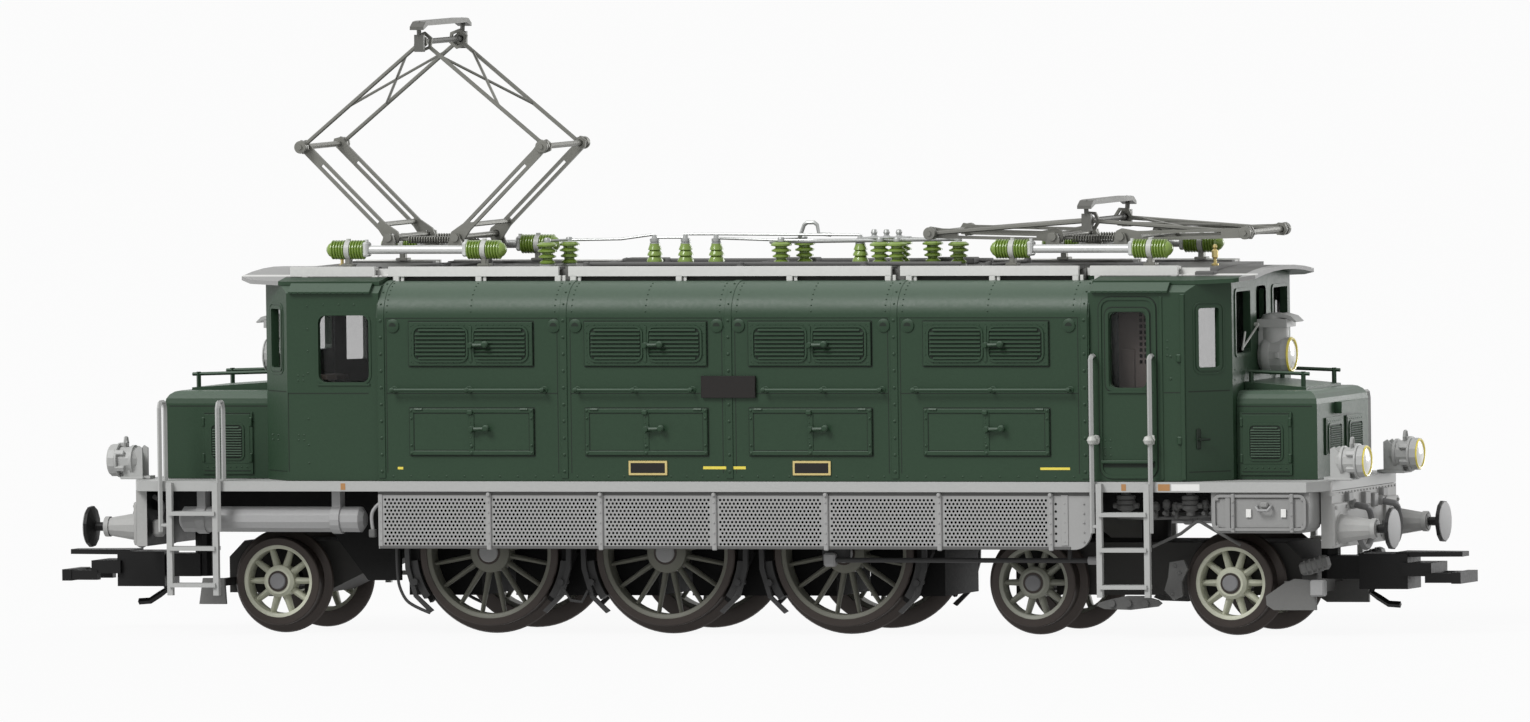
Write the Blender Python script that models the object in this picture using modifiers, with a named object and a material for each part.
# Electric locomotive in 1:87 scale: carrying axle, three driving axles and a two-axle bogie.
# Metres, +Z up, +X towards the bogie end. The origin is on the floor, midway between the ends.
# The wheel flanges stand on the floor, so the rail top is one flange depth above it.
# Near is the -Y side and far is the +Y side.
import bpy
import bmesh
from math import asin, atan2, cos, floor, hypot, pi, radians, sin, sqrt
from mathutils import Matrix, Vector

# Clearances
SEAT = 0.00006          # between two pieces that rest on each other
RUN = 0.00012           # between a pin and its eye
EMBED = 0.0002          # how far a fused piece reaches into the piece that carries it

# Wheels
FLANGE = 0.0010
DRIVER_RADIUS = 0.0090
CARRYING_RADIUS = 0.0054
BACK_TO_BACK = 0.0141
WHEEL_WIDTH = 0.0029
FLANGE_WIDTH = 0.0008
WEB_RECESS = 0.0006     # how deep the spokes lie behind the tyre's face
HUB_PROUD = 0.0003
DRIVER_TYRE = 0.0013
CARRYING_TYRE = 0.0009
DRIVER_HUB = 0.0019
CARRYING_HUB = 0.0015

# Frame under the floor
FRAME_HALF_WIDTH = 0.0063
FRAME_BOTTOM = 0.0046
END_FRAME_BOTTOM = 0.0150
END_FRAME_HALF_WIDTH = 0.0090
FRAME_LEFT = -0.0440
FRAME_RIGHT = 0.0255
AXLE_SLACK = 0.0003
SIDE_PLATE = 0.0008     # thickness of the plates between the carrying axle and the first driving axle
SIDE_PLATE_REACH = 0.0088
SIDE_PLATE_DROP = 0.0085

# Footplate and end beams
FLOOR_TOP = 0.0190
FLOOR_THICKNESS = 0.00124
FLOOR_HALF_WIDTH = 0.0170
BEAM_FACE = 0.0773
BEAM_THICKNESS = 0.0014
BEAM_HALF_WIDTH = 0.0126
BEAM_BOTTOM = 0.0108
CORNER_CUT = 0.0018     # along X, where the footplate narrows to the beam

# Superstructure
ROOM_LEFT = -0.0442
ROOM_RIGHT = 0.0478
ROOM_HALF_WIDTH = 0.0165
ROOM_SHOULDER = 0.0390  # where the side starts to roll over
ROOM_TOP = 0.0433
ROOM_TOP_HALF_WIDTH = 0.0120
WALL = 0.0008
CAB_HALF_WIDTH = 0.0161
CAB_FRONT_HALF_WIDTH = 0.0113
CAB_CORNER = 0.0044     # length of the slanted corner panel along X
CAB_LEFT_FRONT = -0.0604
CAB_RIGHT_FRONT = 0.0644
CAB_EAVE = 0.0420
CAB_EAVE_ROLL = 0.0011
ROOF_SHEET = 0.0005
ROOF_CROWN = 0.0447
ROOF_EDGE = 0.0434      # top of the roof sheet at its side edge
ROOF_HALF_WIDTH = 0.0150
ROOF_OVERHANG = 0.0031
ROOF_LIP_HALF_WIDTH = 0.0138

# Roof deck and its edge boards
DECK_TOP = 0.0448
DECK_HALF_WIDTH = 0.0104
BOARD_TOP = 0.0451
BOARD_HEIGHT = 0.0012
BOARD_THICKNESS = 0.0005
BOARD_REACH = 0.0017    # from the deck's edge to the boards' outer faces
BOARD_OUTER = DECK_HALF_WIDTH + BOARD_REACH
PLANK_TOP = BOARD_TOP - 0.0001
PLANK_THICKNESS = 0.0004

# Bonnets
HOOD_HALF_WIDTH = 0.0100
HOOD_FRONT_TOP = 0.0298
HOOD_CAB_TOP = 0.0308
HOOD_ROUND = 0.0016
HOOD_LEFT_FRONT = -0.0743
HOOD_RIGHT_FRONT = 0.0747
HOOD_DOOR_WIDTH = 0.0066
HOOD_DOOR_LOW = 0.0006      # above the floor
HOOD_DOOR_HIGH = 0.0082     # above the floor
HOOD_SLATS = 5
HOOD_SLOT_EDGE = 0.0012     # from a louvre's slots to the edges of its panel
FRONT_PANEL_Y = 0.0040
FRONT_PANEL_HALF_WIDTH = 0.0032
FRONT_PANEL_LOW = 0.0029    # above the floor
FRONT_PANEL_HIGH = 0.0074   # above the floor
LAMP_BOX_HALF_WIDTH = 0.0031
LAMP_BOX_DEPTH = 0.0009
LAMP_BOX_HEIGHT = 0.0014

# Buffers and couplers
BUFFER_Y = 0.01005
BUFFER_HEIGHT = 0.0131
BUFFER_FACE = 0.0845
BUFFER_RADIUS = 0.00255
COUPLER_TIP = 0.0906
COUPLER_PIVOT = 0.0730

# Skirts
SKIRT_BOTTOM = 0.01075
SKIRT_THICKNESS = 0.0005
SKIRT_ROUND = 0.0022

# Lamps
LAMP_Y = 0.0104
LAMP_HEIGHT = 0.0213
LAMP_RADIUS = 0.0020
LAMP_LENS = 0.0811
LAMP_LENGTH = 0.0036
TOP_LAMP_RISE = 0.0030  # from the bonnet's lid to the lamp's centre line
TOP_LAMP_HEIGHT = HOOD_CAB_TOP + TOP_LAMP_RISE
TOP_LAMP_RADIUS = 0.0023
TOP_LAMP_LENGTH = 0.0038

# Current collectors
PANTO_LEFT = -0.0412
PANTO_RIGHT = 0.0448
PANTO_PIVOT = 0.00435   # half the distance between the two base shafts
LOWER_ARM = 0.0159
UPPER_ARM = 0.0203
RAISED_ANGLE = radians(44.4)
LOWERED_ANGLE = radians(1.4)
ARM_Y_A = 0.0063        # lower plates of arm a
ARM_Y_B = 0.0072        # lower plates of arm b
TUBE_Y_A = 0.0071       # upper tubes of arm a
TUBE_Y_B = 0.0063       # upper tubes of arm b
ARM_PLATE = 0.0005
SHAFT_RADIUS = 0.00035
TUBE_RADIUS = 0.00026
COLLECTOR_HALF_WIDTH = 0.0087
COLLECTOR_RISE = 0.0026
BASE_TUBE_Y = 0.0098
BASE_TUBE_RISE = 0.0021  # from the planks to the base tubes' centre lines
BASE_TUBE_HEIGHT = PLANK_TOP + BASE_TUBE_RISE
PIVOT_RISE = 0.0014     # from the base tubes to the base shafts
PANTO_PIVOT_HEIGHT = BASE_TUBE_HEIGHT + PIVOT_RISE
BASE_TUBE_RADIUS = 0.0006
INSULATOR_REACH = 0.00885
INSULATOR_RADIUS = 0.00115
INSULATOR_HALF = 0.0022

FINISHES = {
    # name: (red, green, blue), roughness, metallic
    "body_green": ((0.045, 0.085, 0.052), 0.45, 0.0),
    "frame_grey": ((0.36, 0.36, 0.36), 0.5, 0.0),
    "roof_grey": ((0.14, 0.14, 0.137), 0.6, 0.0),
    "chassis_black": ((0.03, 0.03, 0.032), 0.55, 0.0),
    "wheel_steel": ((0.2, 0.19, 0.17), 0.35, 0.8),
    "panto_metal": ((0.2, 0.2, 0.175), 0.4, 0.7),
    "buffer_black": ((0.02, 0.02, 0.022), 0.5, 0.0),
    "insulator_green": ((0.2, 0.36, 0.08), 0.35, 0.0),
    "glazing": ((0.8, 0.85, 0.85), 0.05, 0.0),
    "interior_brown": ((0.08, 0.06, 0.045), 0.6, 0.0),
}

for item in list(bpy.data.objects):
    bpy.data.objects.remove(item, do_unlink=True)

PARTS = bpy.data.collections.new("electric locomotive")
CUTTERS = bpy.data.collections.new("cutters")
for group in (PARTS, CUTTERS):
    bpy.context.scene.collection.children.link(group)


def make_finish(name):
    colour, roughness, metallic = FINISHES[name]
    made = bpy.data.materials.new(name)
    made.use_nodes = True
    shader = made.node_tree.nodes["Principled BSDF"]
    shader.inputs["Base Color"].default_value = (*colour, 1.0)
    shader.inputs["Roughness"].default_value = roughness
    shader.inputs["Metallic"].default_value = metallic
    return made


MADE_FINISHES = {name: make_finish(name) for name in FINISHES}


# Shapes

def add_object(name, bm):
    mesh = bpy.data.meshes.new(name)
    bm.to_mesh(mesh)
    bm.free()
    mesh.shade_smooth()
    mesh.set_sharp_from_angle(angle=radians(35))
    made = bpy.data.objects.new(name, mesh)
    PARTS.objects.link(made)
    return made


def block(low, high, name="block"):
    low, high = Vector(low), Vector(high)
    bm = bmesh.new()
    bmesh.ops.create_cube(bm, size=1.0)
    bmesh.ops.scale(bm, vec=high - low, verts=bm.verts)
    bmesh.ops.translate(bm, vec=(high + low) / 2, verts=bm.verts)
    return add_object(name, bm)


def blocks(boxes, name="blocks"):
    # Boxes that don't touch each other, in one mesh, to be joined to what carries them
    bm = bmesh.new()
    for low, high in boxes:
        low, high = Vector(low), Vector(high)
        made = bmesh.ops.create_cube(bm, size=1.0)["verts"]
        bmesh.ops.scale(bm, vec=high - low, verts=made)
        bmesh.ops.translate(bm, vec=(high + low) / 2, verts=made)
    return add_object(name, bm)


def rods(lines, radius, sides=8, end_radius=None, name="rods"):
    # Round bars between pairs of points, clear of each other, in one mesh
    bm = bmesh.new()
    for start, end in lines:
        start, end = Vector(start), Vector(end)
        along = end - start
        tip = radius if end_radius is None else end_radius
        made = bmesh.ops.create_cone(bm, cap_ends=True, segments=sides, radius1=radius,
                                     radius2=tip, depth=along.length)["verts"]
        turn = along.to_track_quat("Z", "Y").to_matrix().to_4x4()
        bmesh.ops.transform(bm, matrix=Matrix.Translation((start + end) / 2) @ turn, verts=made)
    return add_object(name, bm)


PLANES = {
    # where the outline's own x, y and its thickness point
    "XY": Matrix(((1, 0, 0), (0, 1, 0), (0, 0, 1))),
    "XZ": Matrix(((1, 0, 0), (0, 0, -1), (0, 1, 0))),
    "YZ": Matrix(((0, 0, 1), (1, 0, 0), (0, 1, 0))),
}
THICKNESS_SIGN = {"XY": 1, "XZ": -1, "YZ": 1}


def as_mesh(guide, whole_caps=False):
    # A curve object made a mesh, with its caps welded on, each in one face if whole_caps is set
    bpy.context.view_layer.update()
    graph = bpy.context.evaluated_depsgraph_get()
    mesh = bpy.data.meshes.new_from_object(guide.evaluated_get(graph))
    bm = bmesh.new()
    bm.from_mesh(mesh)
    bmesh.ops.remove_doubles(bm, verts=bm.verts, dist=1e-7)
    if whole_caps:
        for side in (-1, 1):
            cap = [face for face in bm.faces if all(vert.co.z * side > 0 for vert in face.verts)]
            bmesh.ops.dissolve_faces(bm, faces=cap)
    bmesh.ops.transform(bm, matrix=guide.matrix_world, verts=bm.verts)
    bmesh.ops.recalc_face_normals(bm, faces=bm.faces)
    name = guide.name
    curve = guide.data
    bpy.data.objects.remove(guide)
    bpy.data.curves.remove(curve)
    bpy.data.meshes.remove(mesh)
    return add_object(name, bm)


def prism(outline, low, high, plane="XY", holes=(), name="prism"):
    # A flat outline in one plane, thick from low to high along the third axis
    curve = bpy.data.curves.new(name, "CURVE")
    curve.dimensions = "2D"
    curve.fill_mode = "BOTH"
    curve.extrude = (high - low) / 2
    curve.resolution_u = 1
    curve.render_resolution_u = 0
    for loop in (outline, *holes):
        spline = curve.splines.new("POLY")
        spline.points.add(len(loop) - 1)
        for point, (u, v) in zip(spline.points, loop):
            point.co = (u, v, 0, 1)
        spline.use_cyclic_u = True
    guide = bpy.data.objects.new(name, curve)
    PARTS.objects.link(guide)
    lift = THICKNESS_SIGN[plane] * (low + high) / 2
    guide.matrix_world = PLANES[plane].to_4x4() @ Matrix.Translation((0, 0, lift))
    return as_mesh(guide, whole_caps=not holes)


def wire(points, radius, sides=4, name="wire"):
    curve = bpy.data.curves.new(name, "CURVE")
    curve.dimensions = "3D"
    curve.bevel_depth = radius
    curve.bevel_resolution = (sides - 4) // 2
    curve.use_fill_caps = True
    curve.resolution_u = 1
    curve.render_resolution_u = 0
    spline = curve.splines.new("POLY")
    spline.points.add(len(points) - 1)
    for point, place in zip(spline.points, points):
        point.co = (*place, 1)
    guide = bpy.data.objects.new(name, curve)
    PARTS.objects.link(guide)
    return as_mesh(guide)


def turned(profile, place, along, steps=12, name="turned"):
    # A profile of (radius, height) pairs from top to bottom, turned about the line along
    bm = bmesh.new()
    line = [bm.verts.new((radius, 0, height)) for radius, height in profile]
    for first, second in zip(line, line[1:]):
        bm.edges.new((first, second))
    made = add_object(name, bm)
    turn = Vector(along).to_track_quat("Z", "Y").to_matrix().to_4x4()
    # a small twist keeps the facets' corners off those of the shapes joined to them
    made.matrix_world = Matrix.Translation(place) @ turn @ Matrix.Rotation(radians(10), 4, "Z")
    screw = made.modifiers.new("turn", "SCREW")
    screw.steps = steps
    screw.render_steps = steps
    screw.use_merge_vertices = True
    screw.merge_threshold = 1e-6
    screw.use_smooth_shade = True
    return made


def set_aside(piece):
    if piece.name in PARTS.objects:
        PARTS.objects.unlink(piece)
        CUTTERS.objects.link(piece)
    piece.hide_render = True
    piece.display_type = "WIRE"


def combine(base, pieces, operation):
    for piece in pieces:
        step = base.modifiers.new(operation.lower(), "BOOLEAN")
        step.operation = operation
        step.solver = "EXACT"
        step.object = piece
        set_aside(piece)
    return base


def join(base, *pieces):
    return combine(base, pieces, "UNION")


def cut(base, *pieces):
    return combine(base, pieces, "DIFFERENCE")


def common(base, *pieces):
    return combine(base, pieces, "INTERSECT")


def node(made, name, finish):
    made.name = name
    made.data.name = name
    made.data.materials.clear()
    made.data.materials.append(MADE_FINISHES[finish])
    return made


def arc(centre, radius, start, end, steps):
    # Points of a round stretch, angles in degrees
    turns = [radians(start + (end - start) * k / steps) for k in range(steps + 1)]
    return [(centre[0] + radius * cos(t), centre[1] + radius * sin(t)) for t in turns]


def mirrored(outline):
    # The other half of an outline whose first half runs up the +x side
    return outline + [(-x, y) for x, y in reversed(outline)]


def box_outline(left, right, bottom, top, rounding=0.0, steps=3):
    if rounding == 0:
        return [(left, bottom), (right, bottom), (right, top), (left, top)]
    corners = ((right - rounding, bottom + rounding, -90), (right - rounding, top - rounding, 0),
               (left + rounding, top - rounding, 90), (left + rounding, bottom + rounding, 180))
    points = []
    for x, y, start in corners:
        points += arc((x, y), rounding, start, start + 90, steps)
    return points


# Wheelsets: two spoked wheels and their axle, one body

def wheelset(name, x, radius, tyre, hub, spokes, root_width, tip_width, raised_tyre):
    back = BACK_TO_BACK / 2
    face = back + WHEEL_WIDTH
    web = face - WEB_RECESS
    inner = radius - tyre
    half = [(0, face + HUB_PROUD), (hub, web), (inner, web)]
    if raised_tyre:
        half.append((inner, face))
    half += [(radius, face), (radius, back + FLANGE_WIDTH), (radius + FLANGE, back),
             (inner, back), (hub, back)]
    profile = half + [(r, -y) for r, y in reversed(half)]
    bm = bmesh.new()
    line = [bm.verts.new((r, y, 0)) for r, y in profile]
    edges = [bm.edges.new(pair) for pair in zip(line, line[1:])]
    bmesh.ops.spin(bm, geom=line + edges, cent=(0, 0, 0), axis=(0, 1, 0), steps=2 * spokes,
                   angle=2 * pi, use_merge=True)
    bmesh.ops.remove_doubles(bm, verts=bm.verts, dist=1e-6)
    bmesh.ops.dissolve_degenerate(bm, dist=1e-7, edges=bm.edges)
    pitch = 2 * pi / spokes
    # The corners of the openings move together, so that the spokes have their own width
    for vert in bm.verts:
        reach = hypot(vert.co.x, vert.co.z)
        width = root_width if abs(reach - hub) < 1e-5 else tip_width
        if abs(reach - hub) > 1e-5 and abs(reach - inner) > 1e-5:
            continue
        angle = atan2(vert.co.z, vert.co.x)
        step = round(angle / (pitch / 2))
        odd = step % 2
        centre = (step + (0.5 if odd else -0.5)) * pitch / 2
        spread = asin(width / 2 / reach)
        angle = centre - spread if odd else centre + spread
        vert.co.x, vert.co.z = reach * cos(angle), reach * sin(angle)
    openings = {}
    for face_made in bm.faces:
        rings = [hypot(v.co.x, v.co.z) for v in face_made.verts]
        if len(rings) != 4 or abs(max(rings) - inner) > 1e-5 or abs(min(rings) - hub) > 1e-5:
            continue
        middle = face_made.calc_center_median()
        sector = floor((atan2(middle.z, middle.x) % (2 * pi)) / (pitch / 2))
        if sector % 2 == 0:
            openings.setdefault((sector, middle.y > 0), []).append(face_made)
    loops = [[edge for side in pair for edge in side.edges] for pair in openings.values()]
    bmesh.ops.delete(bm, geom=[side for pair in openings.values() for side in pair],
                     context="FACES_ONLY")
    for loop in loops:
        bmesh.ops.bridge_loops(bm, edges=loop)
    bmesh.ops.recalc_face_normals(bm, faces=bm.faces)
    made = add_object(name, bm)
    made.location = (x, 0, radius + FLANGE)
    return node(made, name, "wheel_steel")


CARRYING = (CARRYING_RADIUS, CARRYING_TYRE, CARRYING_HUB, 10, 0.00072, 0.00062, True)
DRIVER = (DRIVER_RADIUS, DRIVER_TYRE, DRIVER_HUB, 16, 0.00056, 0.00050, False)
WHEELSETS = (
    # name, x, kind
    ("pony_wheelset", -0.05985, CARRYING),
    ("driver_wheelset_1", -0.0323, DRIVER),
    ("driver_wheelset_2", -0.00937, DRIVER),
    ("driver_wheelset_3", 0.0137, DRIVER),
    ("bogie_wheelset_1", 0.03805, CARRYING),
    ("bogie_wheelset_2", 0.06335, CARRYING),
)
AXLES = {name: x for name, x, kind in WHEELSETS}
DRIVER_AXLE = DRIVER_RADIUS + FLANGE
CARRYING_AXLE = CARRYING_RADIUS + FLANGE
PONY_PIVOT = -0.0480
BOGIE_PIVOT = (AXLES["bogie_wheelset_1"] + AXLES["bogie_wheelset_2"]) / 2


def make_wheelsets():
    for name, x, kind in WHEELSETS:
        wheelset(name, x, *kind)


def axle_notch(x, height, radius, bottom):
    # Outline points, left to right, of a slot open below for an axle to turn in
    gap = radius + AXLE_SLACK
    top = [(x + gap * cos(radians(a)), height + gap * sin(radians(a))) for a in range(180, -1, -45)]
    return [(x - gap, bottom)] + top + [(x + gap, bottom)]


# Frame under the floor

FLOOR_BOTTOM = FLOOR_TOP - FLOOR_THICKNESS
FRAME_TOP = FLOOR_BOTTOM - SEAT
FRAME_END = BEAM_FACE - BEAM_THICKNESS - SEAT
BRAKE_PLANE = (0.0082, 0.0093)
BRAKE_BAR = 0.0011
BRAKE_SHOE = 0.0008


def brake_hanger(x, side):
    # A shoe round the tread, and the bar that it hangs from, beside one driving wheel
    inner = DRIVER_RADIUS + 0.0003
    outer = inner + BRAKE_SHOE
    # drawn on the wheel's right side, and turned over for its left side
    top = FRAME_TOP - DRIVER_AXLE
    outline = list(reversed(arc((0, 0), inner, -38, 22, 4)))
    outline += [(outer * cos(radians(-38)), outer * sin(radians(-38))), (outer + BRAKE_BAR, 0.0),
                (outer + BRAKE_BAR * 0.8, top), (outer - BRAKE_BAR * 0.2, top), (outer, 0.0040)]
    placed = [(x + side * u, DRIVER_AXLE + v) for u, v in outline]
    pieces = []
    for plane in (1, -1):
        low, high = sorted((plane * BRAKE_PLANE[0], plane * BRAKE_PLANE[1]))
        pieces.append(prism(placed, low, high, "XZ", name="brake"))
    cross = x + side * (outer + BRAKE_BAR * 0.3)
    reach = BRAKE_PLANE[1] - EMBED
    pieces.append(rods([((cross, -reach, FRAME_TOP - 0.0016), (cross, reach, FRAME_TOP - 0.0016))], 0.0004))
    return pieces


def make_chassis():
    outline = [(FRAME_LEFT, FRAME_BOTTOM)]
    for number in (1, 2, 3):
        x = AXLES["driver_wheelset_%d" % number]
        outline += axle_notch(x, DRIVER_AXLE, DRIVER_HUB, FRAME_BOTTOM)
    middle_top = FRAME_TOP - EMBED
    outline += [(FRAME_RIGHT, FRAME_BOTTOM), (FRAME_RIGHT, middle_top), (FRAME_LEFT, middle_top)]
    middle = prism(outline, -FRAME_HALF_WIDTH, FRAME_HALF_WIDTH, "XZ")
    ends = [block((-FRAME_END, -END_FRAME_HALF_WIDTH, END_FRAME_BOTTOM),
                  (FRAME_LEFT + EMBED, END_FRAME_HALF_WIDTH, FRAME_TOP)),
            block((FRAME_RIGHT - EMBED, -END_FRAME_HALF_WIDTH, END_FRAME_BOTTOM),
                  (FRAME_END, END_FRAME_HALF_WIDTH, FRAME_TOP))]
    brakes = []
    for number, side in ((1, -1), (1, 1), (2, 1), (3, 1)):
        brakes += brake_hanger(AXLES["driver_wheelset_%d" % number], side)
    plates = []
    for side in (-1, 1):
        low, high = sorted((side * (END_FRAME_HALF_WIDTH - SIDE_PLATE), side * (END_FRAME_HALF_WIDTH - SEAT)))
        plates.append(prism([(FRAME_LEFT - SIDE_PLATE_REACH, END_FRAME_BOTTOM + EMBED),
                             (FRAME_LEFT - SIDE_PLATE_REACH, END_FRAME_BOTTOM - SIDE_PLATE_DROP / 3),
                             (FRAME_LEFT - SIDE_PLATE_REACH / 2, END_FRAME_BOTTOM - SIDE_PLATE_DROP),
                             (FRAME_LEFT - EMBED, END_FRAME_BOTTOM - SIDE_PLATE_DROP),
                             (FRAME_LEFT - EMBED, END_FRAME_BOTTOM + EMBED)], low, high, "XZ"))
    node(join(middle, *ends, *plates, *brakes), "chassis_block", "chassis_black")


def make_footplate():
    half = [(-BEAM_FACE, BEAM_HALF_WIDTH), (-BEAM_FACE + CORNER_CUT, FLOOR_HALF_WIDTH),
            (BEAM_FACE - CORNER_CUT, FLOOR_HALF_WIDTH), (BEAM_FACE, BEAM_HALF_WIDTH)]
    outline = half + [(x, -y) for x, y in reversed(half)]
    wells = BACK_TO_BACK / 2 + WHEEL_WIDTH + HUB_PROUD + 0.0006
    hole = box_outline(FRAME_LEFT + 0.0008, FRAME_RIGHT - 0.0006, -wells, wells, 0.001, 2)
    node(prism(outline, FLOOR_BOTTOM, FLOOR_TOP, "XY", holes=[hole]), "footplate", "frame_grey")


def make_skirts():
    low, top = SKIRT_BOTTOM, FLOOR_BOTTOM - SEAT
    rounding = arc((ROOM_RIGHT - SKIRT_ROUND, low + SKIRT_ROUND), SKIRT_ROUND, -90, 0, 4)
    for name, side in (("skirt_near", -1), ("skirt_far", 1)):
        outline = [(ROOM_LEFT, low)] + rounding + [(ROOM_RIGHT, top), (ROOM_LEFT, top)]
        outline = [(x if side < 0 else ROOM_LEFT + ROOM_RIGHT - x, z) for x, z in outline]
        outer = side * ROOM_HALF_WIDTH
        inner = side * (ROOM_HALF_WIDTH - SKIRT_THICKNESS)
        sheet = prism(outline, min(outer, inner), max(outer, inner), "XZ")
        straps = []
        for x in (-0.0312, -0.0171, -0.0023, 0.0118, 0.0262, 0.0407):
            x = x if side < 0 else ROOM_LEFT + ROOM_RIGHT - x
            proud = outer + side * 0.0003
            straps.append(((x - 0.0004, min(proud, outer - side * EMBED), low + 0.0003),
                           (x + 0.0004, max(proud, outer - side * EMBED), top - 0.0003)))
        rail_low, rail_high = sorted((outer - side * 0.0014, inner + side * EMBED))
        rail = block((ROOM_LEFT + 0.0030, rail_low, low + 0.0001),
                     (ROOM_RIGHT - 0.0030, rail_high, low + 0.0006))
        node(join(sheet, blocks(straps), rail), name, "frame_grey")


def make_end_beams():
    for name, end in (("end_beam_left", -1), ("end_beam_right", 1)):
        face, back = end * BEAM_FACE, end * (BEAM_FACE - BEAM_THICKNESS)
        beam = block((min(face, back), -BEAM_HALF_WIDTH, BEAM_BOTTOM),
                     (max(face, back), BEAM_HALF_WIDTH, FLOOR_BOTTOM - SEAT))
        sleeves = []
        for y in (-BUFFER_Y, BUFFER_Y):
            profile = [(0, 0.0050), (0.0010, 0.0050), (0.0018, 0.0004), (0.0021, 0.0004),
                       (0.0021, -EMBED), (0, -EMBED)]
            sleeves.append(turned(profile, (face, y, BUFFER_HEIGHT), (end, 0, 0)))
        node(join(beam, *sleeves), name, "frame_grey")


def make_buffer_heads():
    sleeve_end = BEAM_FACE + 0.0050 + SEAT
    for end_name, end in (("left", -1), ("right", 1)):
        for side_name, side in (("near", -1), ("far", 1)):
            reach = BUFFER_FACE - sleeve_end
            profile = [(0, reach), (BUFFER_RADIUS * 0.5, reach), (BUFFER_RADIUS, reach - 0.0002),
                       (BUFFER_RADIUS, reach - 0.0006), (0.00055, reach - 0.0010), (0.00055, 0), (0, 0)]
            place = (end * sleeve_end, side * BUFFER_Y, BUFFER_HEIGHT)
            head = turned(profile, place, (end, 0, 0))
            node(head, "buffer_head_%s_%s" % (end_name, side_name), "buffer_black")


# Housing

SHOULDER_STEPS = 4


def room_section(inset):
    # Cross-section of the machine room, y and z, with its rolled shoulders
    drop = ROOM_TOP - ROOM_SHOULDER
    roll = ROOM_HALF_WIDTH - ROOM_TOP_HALF_WIDTH
    half = [(ROOM_HALF_WIDTH - inset, FLOOR_TOP + SEAT)]
    for k in range(SHOULDER_STEPS + 1):
        turn = pi / 2 * k / SHOULDER_STEPS
        half.append((ROOM_TOP_HALF_WIDTH + (roll - inset) * cos(turn),
                     ROOM_SHOULDER + (drop - inset) * sin(turn)))
    return mirrored(half)


def roof_arch(height, half_width, steps):
    # Points of the cab roof's arch from the far edge to the near one, dropped by height
    rise = ROOF_CROWN - ROOF_EDGE
    points = []
    for k in range(steps + 1):
        y = half_width * (1 - 2 * k / steps)
        points.append((y, ROOF_CROWN - height - rise * (y / ROOF_HALF_WIDTH) ** 2))
    return points


def cab_section(inset):
    under = ROOF_SHEET + SEAT + inset
    edge = CAB_HALF_WIDTH - CAB_EAVE_ROLL
    top = roof_arch(under, edge - inset, 8)
    return ([(CAB_HALF_WIDTH - inset, FLOOR_TOP + SEAT), (CAB_HALF_WIDTH - inset, CAB_EAVE)]
            + top + [(-CAB_HALF_WIDTH + inset, CAB_EAVE), (-CAB_HALF_WIDTH + inset, FLOOR_TOP + SEAT)])


def cab_plan(front, room, inset, at_room):
    # Plan of a cab with slanted corners, from the machine room's end wall to the cab's front
    out = 1 if front > room else -1
    corner = front - out * CAB_CORNER
    slope = inset * 0.6
    half = [(at_room, CAB_HALF_WIDTH - inset), (corner - out * slope, CAB_HALF_WIDTH - inset),
            (front - out * inset, CAB_FRONT_HALF_WIDTH - slope)]
    return half + [(x, -y) for x, y in reversed(half)]


CABS = (
    # name, front wall, machine room end
    ("left", CAB_LEFT_FRONT, ROOM_LEFT),
    ("right", CAB_RIGHT_FRONT, ROOM_RIGHT),
)
SIDE_WINDOWS = (
    # cab, side, start and end out from the machine room, low and high above the floor, rounding
    ("left", -1, 0.0011, 0.0077, 0.0120, 0.0203, 0.0010),
    ("right", -1, 0.0025, 0.0072, 0.0114, 0.0206, 0.0008),
    ("left", 1, 0.0030, 0.0077, 0.0114, 0.0206, 0.0008),
    ("right", 1, 0.0008, 0.0076, 0.0120, 0.0203, 0.0010),
)
FRONT_WINDOWS = (
    # y, width, low and high above the floor
    (-0.0072, 0.0054, 0.0153, 0.0228),
    (0.0, 0.0024, 0.0180, 0.0228),
    (0.0072, 0.0054, 0.0153, 0.0228),
)
CORNER_WINDOW = (0.0028, 0.0138, 0.0210)    # width, low and high above the floor


def cab_shell(front, room, inset):
    low, high = FLOOR_TOP - (WALL if inset else -SEAT), ROOF_CROWN
    out = 1 if front > room else -1
    at_room = room + out * inset if inset else room - out * EMBED
    plan = prism(cab_plan(front, room, inset, at_room), low, high, "XY", name="cab plan")
    left, right = sorted((front + out * 0.001, room - out * 0.001))
    section = prism(cab_section(inset), left, right, "YZ", name="cab section")
    if inset:
        below = block((left, -CAB_HALF_WIDTH + inset, low), (right, CAB_HALF_WIDTH - inset, FLOOR_TOP + 0.001))
        section = join(section, below)
    return common(plan, section)


def corner_frame(front, room, side):
    # Middle of a slanted corner panel and the direction that it faces
    out = 1 if front > room else -1
    start = Vector((front - out * CAB_CORNER, side * CAB_HALF_WIDTH, 0))
    end = Vector((front, side * CAB_FRONT_HALF_WIDTH, 0))
    along = (end - start).normalized()
    normal = Vector((along.y, -along.x, 0))
    if normal.x * out < 0:
        normal = -normal
    return (start + end) / 2, along, normal


def oriented_box(centre, along, normal, width, depth, low, high, name="slanted box"):
    bm = bmesh.new()
    bmesh.ops.create_cube(bm, size=1.0)
    bmesh.ops.scale(bm, vec=(width, depth, high - low), verts=bm.verts)
    turn = Matrix((along, normal, Vector((0, 0, 1)))).transposed().to_4x4()
    if turn.determinant() < 0:
        turn = Matrix((-along, normal, Vector((0, 0, 1)))).transposed().to_4x4()
    place = Matrix.Translation((centre.x, centre.y, (low + high) / 2))
    bmesh.ops.transform(bm, matrix=place @ turn, verts=bm.verts)
    return add_object(name, bm)


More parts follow.
